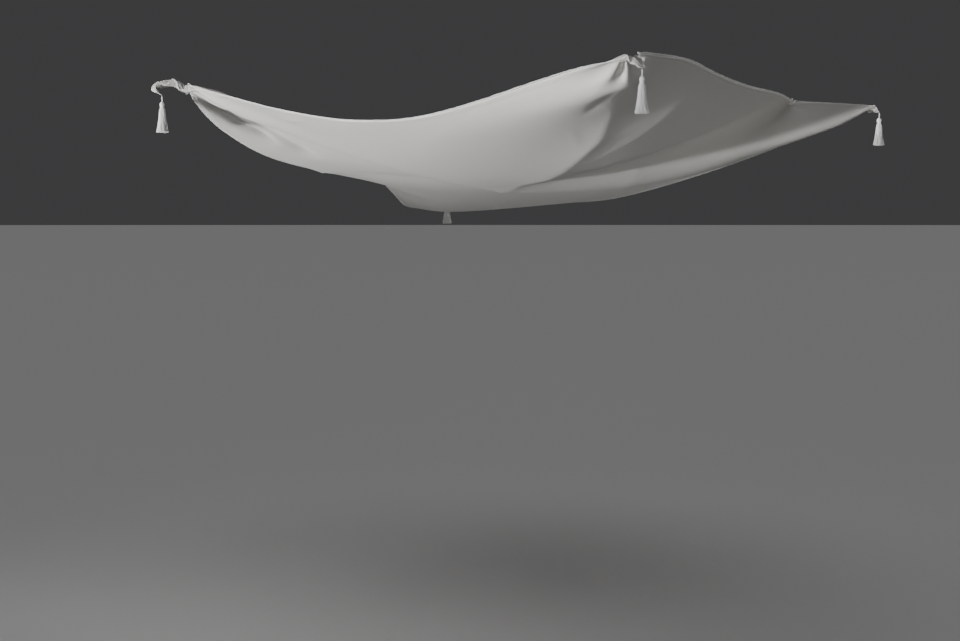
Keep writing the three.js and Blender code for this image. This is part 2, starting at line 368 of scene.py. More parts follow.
# Which grid points are held, as weights of 0, and where
def heldPlaces(lines, pleated):
    alongY, alongX = np.meshgrid(lines, lines, indexing="ij")
    free = np.ones_like(alongX)
    places = np.zeros((3, *alongX.shape))
    for corner in corners:
        gathered, reach = gatheredSurface(corner, alongX, alongY, pleated)
        inside = reach <= corner["reach"] + 1e-9
        places[:, inside] = gathered[:, inside]
        free[inside] = 0
    for hold in edgeHolds if pleated else ():
        rows = np.nonzero(np.abs(lines - hold["distance"]) <= cloth["pinchLength"])[0]
        columns = np.nonzero(lines <= cloth["pinchDepth"])[0]
        inward = -1 if hold["right"] else 1
        for row in rows:
            beside = lines[row] - hold["distance"]
            fold = cloth["pinchFold"] * math.cos(math.pi * beside / cloth["pinchLength"])
            for column in columns:
                depth = lines[column]
                k = len(lines) - 1 - column if hold["right"] else column
                level = inward * depth * cloth["pinchReach"]
                shift = (level, beside * cloth["pinchShare"], fold - cloth["pinchDrop"] * depth)
                places[:, row, k] = np.array(hold["at"]) + shift
                free[row, k] = 0
    return free, places


def sliceOf(indices):
    step = int(indices[1] - indices[0]) if len(indices) > 1 else 1
    return slice(int(indices[0]), int(indices[-1]) + 1, step)


# Groups of threads that share no point, so that each group is pulled in one step
def threadFamilies(lines, free, settings):
    steps = np.diff(lines)
    count = len(lines)
    every = np.arange(count)
    families = []

    def add(firstRows, firstColumns, secondRows, secondColumns, length, pull, push):
        freeA = free[np.ix_(firstRows, firstColumns)]
        freeB = free[np.ix_(secondRows, secondColumns)]
        weight = freeA + freeB
        inverse = np.where(weight > 0, 1 / np.maximum(weight, 1), 0)
        asSlices = [sliceOf(k) for k in (firstRows, firstColumns, secondRows, secondColumns)]
        families.append((*asSlices, length.astype(np.float32), (freeA * inverse).astype(np.float32),
                         (freeB * inverse).astype(np.float32), pull, push))

    ones = np.ones(count)
    push, shear, bend = settings["push"], settings["shear"], settings["bend"]
    for start in (0, 1):
        k = every[start:count - 1:2]
        r = every[:-1]
        add(every, k, every, k + 1, np.outer(ones, steps[k]), 1.0, push)
        add(k, every, k + 1, every, np.outer(steps[k], ones), 1.0, push)
        slant = np.hypot.outer(steps[r], steps[k])
        add(r, k, r + 1, k + 1, slant, shear, push * shear)
        add(r + 1, k, r, k + 1, slant, shear, push * shear)
    for start in range(4):
        k = every[start:count - 2:4]
        double = steps[k] + steps[k + 1]
        add(every, k, every, k + 2, np.outer(ones, double), bend, bend)
        add(k, every, k + 2, every, np.outer(double, ones), bend, bend)
    return families


def pullThreads(points, families):
    for rowsA, columnsA, rowsB, columnsB, length, shareA, shareB, pull, push in families:
        a = points[:, rowsA, columnsA]
        b = points[:, rowsB, columnsB]
        gap = b - a
        distance = np.sqrt(gap[0] * gap[0] + gap[1] * gap[1] + gap[2] * gap[2])
        excess = distance - length
        excess *= np.where(excess > 0, np.float32(pull), np.float32(push))
        excess /= distance + np.float32(1e-9)
        gap *= excess
        a += gap * shareA
        b -= gap * shareB


# Brings the held places of the edges back to their holds, between two points of the edge
def pullToHolds(points, lines):
    for hold in edgeHolds:
        near = int(np.searchsorted(lines, hold["distance"])) - 1
        beyond = (hold["distance"] - lines[near]) / (lines[near + 1] - lines[near])
        k = -1 if hold["right"] else 0
        gap = np.array(hold["at"]) - points[:, near, k] * (1 - beyond) - points[:, near + 1, k] * beyond
        gap /= (1 - beyond) ** 2 + beyond ** 2
        points[:, near, k] += gap * (1 - beyond)
        points[:, near + 1, k] += gap * beyond


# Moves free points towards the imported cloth, so that the sheet hangs where its solid is
def pullToFrame(points, shares):
    for index in np.argwhere(shares > 0):
        place = Vector(points[:, index[0], index[1]])
        found = frameTree.find_nearest(place)[0]
        points[:, index[0], index[1]] += np.array(found - place) * shares[index[0], index[1]]


def relax(points, lines, settings, pleated):
    free, places = heldPlaces(lines, pleated)
    points = np.where(free > 0, points, places).astype(np.float32)
    families = threadFamilies(lines, free, settings)
    before = points.copy()
    moving = free.astype(np.float32)
    ratio = settings["lastFall"] / max(settings["firstFall"], 1e-12)
    for step in range(settings["steps"]):
        now = points.copy()
        points += (points - before) * np.float32(settings["kept"])
        points[2] -= moving * np.float32(settings["firstFall"] * ratio ** (step / settings["steps"]))
        points = np.where(moving > 0, points, now)
        before = now
        if settings["settle"]:
            pullToFrame(points, moving * np.float32(settings["settle"]))
        for _ in range(settings["passes"]):
            pullThreads(points, families)
            if not pleated:
                pullToHolds(points, lines)
    return points


# Moves each point toward the middle of its neighbours, by a share of the way
def smoothed(points, lines, share, passes):
    steps = np.diff(lines)
    before, after = steps[:-1], steps[1:]
    for _ in range(passes):
        for axis in (1, 2):
            moved = np.moveaxis(points, axis, -1)
            middle = (moved[..., :-2] * after + moved[..., 2:] * before) / (before + after)
            change = (middle - moved[..., 1:-1]) * np.moveaxis(share[None], axis, -1)[..., 1:-1]
            moved[..., 1:-1] += change


# Evens out small buckles away from the bunched corners and the pinched holds
def evenOut(points, lines):
    alongY, alongX = np.meshgrid(lines, lines, indexing="ij")
    share = np.full_like(alongX, evenedOut["share"])
    side = cloth["side"]

    def away(x, y):
        return np.hypot(alongX - x, alongY - y)

    def spare(distance, start):
        share[...] *= np.clip((distance - start) / evenedOut["fade"], 0, 1)

    for corner in corners:
        distance = away(corner["right"] * side, corner["back"] * side)
        spare(distance - corner["reach"], evenedOut["fromCorner"])
    for hold in edgeHolds:
        spare(away(hold["right"] * side, hold["distance"]), evenedOut["fromHold"])
    smoothed(points, lines, share, evenedOut["passes"])
    for (centreX, centreY), halfWidth, halfDepth, passes in evenedOut["taut"]:
        outside = np.hypot((alongX - centreX) / halfWidth, (alongY - centreY) / halfDepth)
        held = away(side, 0) / evenedOut["heldFade"] - evenedOut["heldStart"]
        inside = np.clip(evenedOut["tautEdge"] * (1 - outside), 0, 1) * np.clip(held, 0, 1)
        smoothed(points, lines, evenedOut["share"] * inside, passes)
    return points


def flatStart(lines):
    necks = [np.array(corner["path"][-1])[:, None, None] for corner in corners]
    shareY, shareX = np.meshgrid(lines / cloth["side"], lines / cloth["side"], indexing="ij")
    front = necks[0] + (necks[1] - necks[0]) * shareX
    back = necks[3] + (necks[2] - necks[3]) * shareX
    return front + (back - front) * shareY


def distanceToFrame(points):
    gaps = [frameTree.find_nearest(Vector(place))[3] for place in points.reshape(3, -1).T]
    return f"{1000 * sum(gaps) / len(gaps):.1f} mm on average and {1000 * max(gaps):.1f} mm at most"


def drapedCloth():
    coarseLines = np.linspace(0, cloth["side"], coarseDrape["cells"] + 1)
    coarse = relax(flatStart(coarseLines), coarseLines, coarseDrape, False)
    report(f"coarse drape, from the frame {distanceToFrame(coarse)}")
    coarse = relax(coarse, coarseLines, settledDrape, False)
    report(f"settled, from the frame {distanceToFrame(coarse)}")
    lines = gridLines(cloth["edgeStep"], cloth["middleStep"], cloth["edgeBand"])
    surface = resample(coarse.astype(float), lines, coarseLines)
    surface = relax(surface, lines, fineDrape, True)
    surface = evenOut(surface.astype(float), lines)
    report(f"fine drape on {len(lines)} lines, from the frame {distanceToFrame(surface)}")
    return surface, lines


def surfaceNormals(points, lines):
    alongX = np.gradient(points, lines, axis=2)
    alongY = np.gradient(points, lines, axis=1)
    normals = np.cross(alongX, alongY, axis=0)
    return normals / np.maximum(np.linalg.norm(normals, axis=0), 1e-12)


# Grid lines of the finished sheet, with close ones where the hem ends
def finishedLines():
    lines = gridLines(cloth["fineEdgeStep"], cloth["fineMiddleStep"], cloth["edgeBand"])
    hemLines = np.array(cloth["hemLines"]) * cloth["hemWidth"]
    last = hemLines[-1] + cloth["hemGap"]
    inner = lines[(lines > last) & (lines < cloth["side"] - last)]
    return np.concatenate([hemLines, inner, cloth["side"] - hemLines[::-1]])


# A thin closed sheet around a grid of points, thicker along its hem
def sheetMesh(name, points, normals, lines):
    count = len(lines)
    nearest = np.minimum(lines, cloth["side"] - lines)
    inset = np.minimum(nearest[:, None], nearest[None, :])
    thick, thin = np.array(cloth["hemLines"][-2:]) * cloth["hemWidth"]
    share = np.clip((thin - inset) / (thin - thick), 0, 1)
    half = (cloth["thickness"] + (cloth["hemThickness"] - cloth["thickness"]) * share) / 2
    above = (points + normals * half).reshape(3, -1).T
    below = (points - normals * half).reshape(3, -1).T
    index = np.arange(count * count).reshape(count, count)
    a, b, c, d = index[:-1, :-1], index[:-1, 1:], index[1:, 1:], index[1:, :-1]
    under = count * count
    top = np.stack([a, b, c, d], -1).reshape(-1, 4)
    bottom = np.stack([d, c, b, a], -1).reshape(-1, 4) + under
    rim = np.concatenate([index[0, :-1], index[:-1, -1], index[-1, :0:-1], index[:0:-1, 0]])
    following = np.roll(rim, -1)
    sides = np.stack([rim, rim + under, following + under, following], -1)
    faces = np.concatenate([top, bottom, sides])
    mesh = bpy.data.meshes.new(name)
    mesh.from_pydata(np.concatenate([above, below]).tolist(), [], faces.tolist())
    flatY, flatX = np.meshgrid(lines, lines, indexing="ij")
    flat = np.stack([flatX, flatY], -1).reshape(-1, 2)
    flat = np.concatenate([flat, flat])
    layer = mesh.uv_layers.new(name="flatCloth")
    layer.data.foreach_set("uv", flat[faces.reshape(-1)].astype(np.float32).reshape(-1))
    mesh.polygons.foreach_set("use_smooth", np.ones(len(faces), dtype=bool))
    mesh.update()
    return mesh


# Soft creases pressed into the sheet, as lines on the flat cloth with a depth, a spread and a
# rounding. They fade out over a share of their length at each end.
creaseRim = 0.05  # and over this distance from the cloth's rim
creases = [
    {"depth": 0.011, "spread": 0.055, "round": 0.007, "fade": 0.30,
     "line": [(0.300, 0.780), (0.600, 0.660), (0.860, 0.560), (1.045, 0.485), (1.205, 0.390),
              (1.290, 0.290), (1.390, 0.130)]},
    {"depth": -0.009, "spread": 0.012, "round": 0.004, "fade": 0.25,
     "line": [(0.120, 0.128), (0.148, 0.149), (0.181, 0.173), (0.215, 0.194), (0.260, 0.215)]},
    {"depth": -0.015, "spread": 0.016, "round": 0.003, "fade": 0.30,
     "line": [(0.075, 0.310), (0.116, 0.402), (0.130, 0.443), (0.150, 0.498), (0.180, 0.570)]},
    {"depth": -0.015, "spread": 0.014, "round": 0.003, "fade": 0.30,
     "line": [(0.022, 0.215), (0.034, 0.254), (0.047, 0.306), (0.073, 0.366), (0.110, 0.465)]},
    {"depth": 0.003, "spread": 0.012, "round": 0.004, "fade": 0.40,
     "line": [(0.440, 0.028), (0.469, 0.066), (0.560, 0.018)]},
    {"depth": -0.004, "spread": 0.020, "round": 0.005, "fade": 0.40,
     "line": [(1.400, 0.080), (1.330, 0.150), (1.250, 0.220)]},
    {"depth": 0.0012, "spread": 0.008, "round": 0.002, "fade": 0.45,
     "line": [(1.200, 0.235), (1.174, 0.323), (1.150, 0.400)]},
    {"depth": 0.002, "spread": 0.012, "round": 0.003, "fade": 0.45,
     "line": [(0.700, 0.480), (0.830, 0.500), (0.930, 0.480)]},
    {"depth": 0.003, "spread": 0.018, "round": 0.003, "fade": 0.45,
     "line": [(0.760, 0.980), (1.000, 0.860), (1.220, 0.800)]},
]


# Distance of each point of the flat cloth from a line, and its share of the way along it
def besideLine(alongX, alongY, line):
    bends = np.array(line)
    lengths = np.hypot(*np.diff(bends, axis=0).T)
    nearest = np.full(alongX.shape, np.inf)
    share = np.zeros(alongX.shape)
    for k, length in enumerate(lengths):
        startX, startY = bends[k]
        stepX, stepY = bends[k + 1] - bends[k]
        part = np.clip(((alongX - startX) * stepX + (alongY - startY) * stepY) / length ** 2, 0, 1)
        distance = np.hypot(alongX - startX - part * stepX, alongY - startY - part * stepY)
        closer = distance < nearest
        nearest = np.where(closer, distance, nearest)
        share = np.where(closer, (lengths[:k].sum() + part * length) / lengths.sum(), share)
    return nearest, share


def pressCreases(points, normals, lines):
    alongY, alongX = np.meshgrid(lines, lines, indexing="ij")
    depth = np.zeros_like(alongX)
    for crease in creases:
        distance, share = besideLine(alongX, alongY, crease["line"])
        rounded = np.hypot(distance, crease["round"])
        ends = np.clip(np.minimum(share, 1 - share) / crease["fade"], 0, 1)
        ends = ends * ends * (3 - 2 * ends)
        depth += crease["depth"] * ends * np.exp((crease["round"] - rounded) / crease["spread"])
    fromEdge = np.minimum(np.minimum(alongX, alongY), cloth["side"] - np.maximum(alongX, alongY))
    depth *= np.clip(fromEdge / creaseRim, 0, 1)
    return points - depth * normals


# Fine, slightly sheer plain weave: the UV map holds the flat cloth in metres
weave = {
    "threadPitch": 0.00055,
    "dark": (0.665, 0.657, 0.633),
    "light": (0.760, 0.752, 0.728),
    "sheer": 0.26,          # share of the light that passes through
    "slubLength": 30,       # noise cells per metre along a thread
    "slubWidth": 1100,      # and across it
    "slubShare": 0.65,      # of the tone, and the rest is cloudy
    "cloudScale": 4.0,
    "relief": 0.00025,
    "reliefStrength": 0.35,
    "crossingShare": 0.25,  # of the relief, beside the slubs
    "roughness": 0.62,
    "sheen": 0.18,
}


def clothFinish():
    material, tree, shader = newMaterial("fineCloth", weave["roughness"], weave["sheen"])
    flat = output(tree, "ShaderNodeUVMap", uv_map="flatCloth")
    parts = addNode(tree, "ShaderNodeSeparateXYZ", {0: flat}).outputs
    turns = 2 * math.pi / weave["threadPitch"]
    warp = maths(tree, "SINE", maths(tree, "MULTIPLY", parts["X"], turns))
    weft = maths(tree, "SINE", maths(tree, "MULTIPLY", parts["Y"], turns))
    crossings = maths(tree, "MULTIPLY", warp, weft)
    slubs = []
    length, width, share = weave["slubLength"], weave["slubWidth"], weave["slubShare"]
    for scale in ((length, width, 1), (width, length, 1)):
        stretched = output(tree, "ShaderNodeMapping", {"Vector": flat, "Scale": scale})
        slubs.append(output(tree, "ShaderNodeTexNoise", {"Vector": stretched, "Scale": 1.0, "Detail": 2.0}))
    slub = maths(tree, "MULTIPLY", maths(tree, "ADD", *slubs), 0.5)
    cloudy = output(tree, "ShaderNodeTexNoise", {
        "Vector": flat, "Scale": weave["cloudScale"], "Detail": 3.0})
    factor = maths(tree, "ADD", maths(tree, "MULTIPLY", slub, share),
                   maths(tree, "MULTIPLY", cloudy, 1 - share))
    colour = toneBetween(tree, factor, weave["dark"], weave["light"])
    height = maths(tree, "ADD", maths(tree, "MULTIPLY", crossings, weave["crossingShare"]), slub)
    bump = output(tree, "ShaderNodeBump", {
        "Strength": weave["reliefStrength"], "Distance": weave["relief"], "Height": height})
    tree.links.new(colour, shader.inputs["Base Color"])
    tree.links.new(bump, shader.inputs["Normal"])
    through = output(tree, "ShaderNodeBsdfTranslucent", {"Color": colour, "Normal": bump})
    mixed = output(tree, "ShaderNodeMixShader", {"Fac": weave["sheer"], 1: shader.outputs[0], 2: through})
    tree.links.new(mixed, tree.nodes["Material Output"].inputs["Surface"])
    return material


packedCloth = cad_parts["canopy_cloth"].data
frameTree = BVHTree.FromPolygons([vertex.co for vertex in packedCloth.vertices],
                                 [face.vertices for face in packedCloth.polygons])
surface, lines = drapedCloth()
sheetLines = finishedLines()
sheetPoints = resample(surface, sheetLines, lines)
sheetPoints = pressCreases(sheetPoints, surfaceNormals(sheetPoints, sheetLines), sheetLines)
sheetNormals = surfaceNormals(sheetPoints, sheetLines)
canopySheet = addObject("canopyCloth", sheetMesh("canopyCloth", sheetPoints, sheetNormals, sheetLines))
canopySheet.data.materials.append(clothFinish())
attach(canopySheet, "canopy")
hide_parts("canopy_cloth")
report(f"canopy cloth of {len(sheetLines)} lines")

# Geometry Nodes


# A tree with named inputs, given as label: (kind, value)
def newTree(name, inputs):
    tree = bpy.data.node_groups.new(name, "GeometryNodeTree")
    tree.interface.new_socket(name="Geometry", in_out="INPUT", socket_type="NodeSocketGeometry")
    for label, (kind, value) in inputs.items():
        socket = tree.interface.new_socket(name=label, in_out="INPUT", socket_type="NodeSocket" + kind)
        if value is not None:
            socket.default_value = value
    tree.interface.new_socket(name="Geometry", in_out="OUTPUT", socket_type="NodeSocketGeometry")
    return tree, tree.nodes.new("NodeGroupInput").outputs


def endTree(tree, geometry, material):
    realized = output(tree, "GeometryNodeRealizeInstances", {"Geometry": geometry})
    smooth = output(tree, "GeometryNodeSetShadeSmooth", {"Geometry": realized})
    painted = output(tree, "GeometryNodeSetMaterial", {"Geometry": smooth, "Material": material})
    tree.links.new(painted, tree.nodes.new("NodeGroupOutput").inputs[0])


# Runs a tree on a mesh and keeps the result as a plain mesh object
def grow(name, seedMesh, tree, values):
    seed = addObject(name + "Seed", seedMesh)
    modifier = seed.modifiers.new("nodes", "NODES")
    modifier.node_group = tree
    identifiers = {s.name: s.identifier for s in tree.interface.items_tree if s.in_out == "INPUT"}
    for label, value in values.items():
        modifier[identifiers[label]] = value
    bpy.context.view_layer.update()
    evaluated = seed.evaluated_get(bpy.context.evaluated_depsgraph_get())
    mesh = bpy.data.meshes.new_from_object(evaluated)
    mesh.name = name
    bpy.data.objects.remove(seed)
    return addObject(name, mesh)


def randomFloat(tree, least, most, seed, strand=None):
    inputs = {2: least, 3: most, "Seed": seed}
    if strand is not None:
        inputs["ID"] = strand
    return addNode(tree, "FunctionNodeRandomValue", inputs, data_type="FLOAT").outputs[1]


def namedValue(tree, name, kind="FLOAT"):
    return output(tree, "GeometryNodeInputNamedAttribute", {"Name": name}, data_type=kind)


# Edging and hem stitches, repeated along each side

edging = {
    "pitch": 0.0068,         # from one scallop to the next
    "height": 0.0042,
    "threadRadius": 0.00088,
    "picotRadius": 0.00115,
    "threadSides": 6,
    "scallopHalf": 0.54,     # half its width, as a share of the pitch
    "scallopFullness": 0.8,  # below 1 widens its top
    "chainHalf": 0.62,
    "chainThread": 0.9,      # as a share of the edging's thread
    "chainPitch": 0.0031,
    "chainOffset": 0.0008,   # outwards from the cloth's rim
    "scallopOffset": 0.0014,
    "cutBack": 0.005,        # bare stretch at each corner
    "bunched": 1.35,         # stretch without scallops, as a share of a corner's reach
    "dark": (0.80, 0.79, 0.765),
    "light": (0.90, 0.895, 0.875),
    "roughness": 0.8,
    "sheen": 0.1,
}
stitching = {
    "inset": 0.0072,  # from the cloth's rim
    "pitch": 0.0034,
    "length": 0.0022,
    "radius": 0.00028,
    "sides": 5,
    "lift": 0.0008,   # from the middle of the hem to the thread
}


# Repeats a unit along a line of points that carries its outward direction
def rowTree():
    tree, given = newTree("rowOfStitches", {
        "Unit": ("Object", None), "Pitch": ("Float", 0.0085), "Unevenness": ("Float", 0.12),
        "Seed": ("Int", 3), "Material": ("Material", None)})
    curve = output(tree, "GeometryNodeMeshToCurve", {"Mesh": given["Geometry"]})
    even = output(tree, "GeometryNodeResampleCurve",
                  {"Curve": curve, "Length": given["Pitch"]}, mode="LENGTH")
    tangent = output(tree, "GeometryNodeInputTangent")
    outward = namedValue(tree, "outward", "FLOAT_VECTOR")
    turn = output(tree, "FunctionNodeAxesToRotation", {0: tangent, 1: outward},
                  primary_axis="X", secondary_axis="Y")
    unit = addNode(tree, "GeometryNodeObjectInfo", {"Object": given["Unit"]})
    least = maths(tree, "SUBTRACT", 1.0, given["Unevenness"])
    most = maths(tree, "ADD", 1.0, given["Unevenness"])
    placed = output(tree, "GeometryNodeInstanceOnPoints", {
        "Points": even, "Instance": unit.outputs["Geometry"],
        "Rotation": turn, "Scale": randomFloat(tree, least, most, given["Seed"])})
    endTree(tree, placed, given["Material"])
    return tree


# Round tubes along paths of (x, y, z, radius), closed at their ends
def tubeMesh(name, paths, sides):
    places, faces = [], []
    for path in paths:
        points = np.array(path, float)
        ahead = np.gradient(points[:, :3], axis=0)
        ahead /= np.linalg.norm(ahead, axis=1)[:, None]
        first = len(places)
        for point, along in zip(points, ahead):
            sideways = np.cross((0.0, 0.0, 1.0), along)
            sideways /= np.linalg.norm(sideways)
            upward = np.cross(along, sideways)
            for k in range(sides):
                turn = 2 * math.pi * k / sides
                places.append(point[:3] + (sideways * math.cos(turn) + upward * math.sin(turn)) * point[3])
        for ring in range(len(points) - 1):
            low = first + ring * sides
            for k in range(sides):
                following = (k + 1) % sides
                faces.append((low + k, low + following, low + sides + following, low + sides + k))
        faces.append(tuple(first + k for k in reversed(range(sides))))
        faces.append(tuple(len(places) - sides + k for k in range(sides)))
    mesh = bpy.data.meshes.new(name)
    mesh.from_pydata([tuple(place) for place in places], [], faces)
    return mesh


# A hidden object that holds the mesh of one repeated unit
def unitObject(name, paths, sides):
    piece = addObject(name, tubeMesh(name, paths, sides))
    piece.hide_render = True
    piece.hide_viewport = True
    return piece


# An arch of thread with a small knot at its top
def scallopUnit():
    half, height = edging["pitch"] * edging["scallopHalf"], edging["height"]
    radius, knot = edging["threadRadius"], edging["picotRadius"]
    turns = [math.pi * k / 10 for k in range(11)]
    fullness = edging["scallopFullness"]
    arch = [(-half * math.cos(t), height * math.sin(t) ** fullness, 0, radius) for t in turns]
    turns = [math.pi * k / 4 for k in range(5)]
    bead = [(0, height + knot * (0.5 - math.cos(t)), 0, max(knot * math.sin(t), 0.0002)) for t in turns]
    return unitObject("scallopUnit", [arch, bead], edging["threadSides"])


# One chain stitch: two strands that open and close again
def chainUnit():
    half = edging["chainPitch"] * edging["chainHalf"]
    radius = edging["threadRadius"] * edging["chainThread"]
    paths = []
    for facing in (-1, 1):
        paths.append([(-half, 0.0006 * facing, 0.0003 * facing, radius * 0.5),
                      (-half * 0.4, 0.0011 * facing, 0.0006 * facing, radius),
                      (half * 0.4, 0.0007 * facing, 0.0004 * facing, radius),
                      (half, 0.0001 * facing, 0, radius * 0.5)])
    return unitObject("chainUnit", paths, edging["threadSides"])


def stitchUnit():
    half, radius = stitching["length"] / 2, stitching["radius"]
    path = [(-half, 0, -radius, radius * 0.5), (-half * 0.5, 0, 0, radius),
            (half * 0.5, 0, 0, radius), (half, 0, -radius, radius * 0.5)]
    return unitObject("stitchUnit", [path], stitching["sides"])


edges = ("front", "right", "back", "left")


# Points along one side of the sheet, inset from its rim and lifted off its middle surface
def edgeLine(edge, inset, lift, cleared=0):
    weights = cubicWeights(np.array([inset]), sheetLines)[0]
    if edge in ("right", "back"):
        weights = weights[::-1]
    along = "jab,a->jb" if edge in ("front", "back") else "jab,b->ja"
    points = np.einsum(along, sheetPoints, weights)
    normals = np.einsum(along, sheetNormals, weights)
    if edge in ("back", "left"):
        points, normals = points[:, ::-1], normals[:, ::-1]
    ahead = np.gradient(points, axis=1)
    outward = np.cross(ahead, normals, axis=0)
    outward /= np.linalg.norm(outward, axis=0)
    points = points + normals * lift
    number = edges.index(edge)
    first, last = [max(edging["cutBack"], cleared * corners[k % 4]["reach"]) for k in (number, number + 1)]
    keep = (sheetLines > first) & (sheetLines < cloth["side"] - last)
    return points[:, keep].T, outward[:, keep].T


def lineMesh(name, points, outward):
    mesh = bpy.data.meshes.new(name)
    mesh.from_pydata([tuple(p) for p in points], [(k, k + 1) for k in range(len(points) - 1)], [])
    attribute = mesh.attributes.new("outward", "FLOAT_VECTOR", "POINT")
    attribute.data.foreach_set("vector", outward.astype(np.float32).ravel())
    return mesh


# One mesh object from several, which are removed
def joined(name, parts):
    with bpy.context.temp_override(active_object=parts[0], object=parts[0],
                                   selected_objects=parts, selected_editable_objects=parts):
        bpy.ops.object.join()
    parts[0].name = name
    parts[0].data.name = name
    return parts[0]


# Twisted thread: its tone varies from place to place, and its plies show as fine bumps
thread = {
    "toneScale": 160.0,  # noise cells per metre
    "plyScale": 2600.0,
    "plyDepth": 0.0002,
    "plyStrength": 0.4,
    "strandShare": 0.6,  # of the tone, where each strand has its own
}


def threadFinish(name, look, shadeName=None):
    material, tree, shader = newMaterial(name, look["roughness"], look["sheen"])
    here = addNode(tree, "ShaderNodeTexCoord").outputs["Object"]
    tone, plies = [
        output(tree, "ShaderNodeTexNoise", {"Vector": here, "Scale": scale, "Detail": detail})
        for scale, detail in ((thread["toneScale"], 2.0), (thread["plyScale"], 1.0))]
    if shadeName:
        share = thread["strandShare"]
        shade = addNode(tree, "ShaderNodeAttribute", attribute_name=shadeName).outputs["Fac"]
        tone = maths(tree, "ADD", maths(tree, "MULTIPLY", shade, share),
                     maths(tree, "MULTIPLY", tone, 1 - share))
    tree.links.new(toneBetween(tree, tone, look["dark"], look["light"]), shader.inputs["Base Color"])
    bump = output(tree, "ShaderNodeBump", {
        "Strength": thread["plyStrength"], "Distance": thread["plyDepth"], "Height": plies})
    tree.links.new(bump, shader.inputs["Normal"])
    return material


def makeEdging():
    tree = rowTree()
    finish = threadFinish("crochetThread", edging)
    scallop, chain, stitch = scallopUnit(), chainUnit(), stitchUnit()
    # unit, pitch, offset from the cloth's rim, and the bunched stretch that stays bare
    crochet = ((chain, edging["chainPitch"], edging["chainOffset"], 0),
               (scallop, edging["pitch"], edging["scallopOffset"], edging["bunched"]))
    pieces = []

    def row(name, points, outward, unit, pitch, seed):
        return grow(name, lineMesh(name, points, outward), tree, {
            "Unit": unit, "Pitch": pitch, "Seed": seed, "Material": finish})

    for number, edge in enumerate(edges):
        label = edge.capitalize()
        rows = []
        for unit, pitch, offset, cleared in crochet:
            points, outward = edgeLine(edge, 0, 0, cleared)
            points = points + outward * offset
            rows.append(row(edge + unit.name, points, outward, unit, pitch, number + 1))
        trim = joined("edging" + label, rows)
        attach(trim, "canopy")
        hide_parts("edging_" + edge)
        rows = []
        for facing in (-1, 1):
            points, outward = edgeLine(edge, stitching["inset"], stitching["lift"] * facing)
            rows.append(row(f"{edge}Stitches{facing}", points, outward * facing,
                            stitch, stitching["pitch"], number + 9))
        hem = joined("hemStitches" + label, rows)
        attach(hem, "canopy")
        pieces += [trim, hem]
    for unit in (scallop, chain, stitch):
        bpy.data.objects.remove(unit)
    return pieces


trims = makeEdging()
report("edging and hem stitches")

# Tassels

# Each piece of a tassel is a set of threads around its middle line. The profile gives the
# radius, as a share of the widest one, from the top of the piece (0) to its bottom (1).
headThreads = 44                           # side by side around the knob
goldenTurn = math.pi * (3 - math.sqrt(5))  # spreads the skirt's threads evenly
tasselPieces = {
    "Cord": {"node": "tassel_cord", "profile": ((0, 1), (1, 1)), "inputs": {
        "Count": 2, "Points": 30, "Top": -0.0020, "Length": 0.0160, "Radius": 0.00075,
        "Thread": 0.00080, "Turns": 3.2, "Step": math.pi}},
    "Head": {"node": "tassel_head", "inputs": {
        "Count": headThreads, "Points": 14, "Top": 0.0105, "Length": 0.0142, "Radius": 0.0056,
        "Thread": 0.00060, "Turns": 0.10, "Step": 2 * math.pi / headThreads, "Wave": 0.0002},
        "profile": ((0, 0.13), (0.14, 0.3), (0.35, 0.82), (0.58, 1.0), (0.8, 0.93), (1, 0.8))},
    "Binding": {"node": "tassel_binding", "inputs": {
        "Count": 1, "Points": 170, "Top": 0.0243, "Length": 0.0046, "Radius": 0.0050,
        "Thread": 0.00048, "Turns": 7.0, "Wave": 0.0001},
        "profile": ((0, 0.97), (0.5, 1), (1, 0.99))},
    "Skirt": {"node": "tassel_skirt", "inputs": {
        "Count": 260, "Points": 14, "Top": 0.0276, "Length": 0.0625, "Radius": 0.0155,
        "Thread": 0.00052, "Turns": 0.06, "Step": goldenTurn, "Fill": 1.0,
        "Ragged": 0.03, "Wave": 0.0020},
        "profile": ((0, 0.30), (0.07, 0.46), (0.35, 0.59), (0.67, 0.74), (0.84, 0.87), (1, 1))},
}
tassel = {
    "dark": (0.90, 0.896, 0.884),
    "light": (0.965, 0.963, 0.955),
    "roughness": 0.55,
    "sheen": 0.2,
    "belowCordTop": 0.0015,  # where it hangs from, under the top of its cord's solid
    "turn": 1.3,             # radians from one tassel to the next, so that no two look alike
    "firstSeed": 11,
    "seedStep": 7,
}


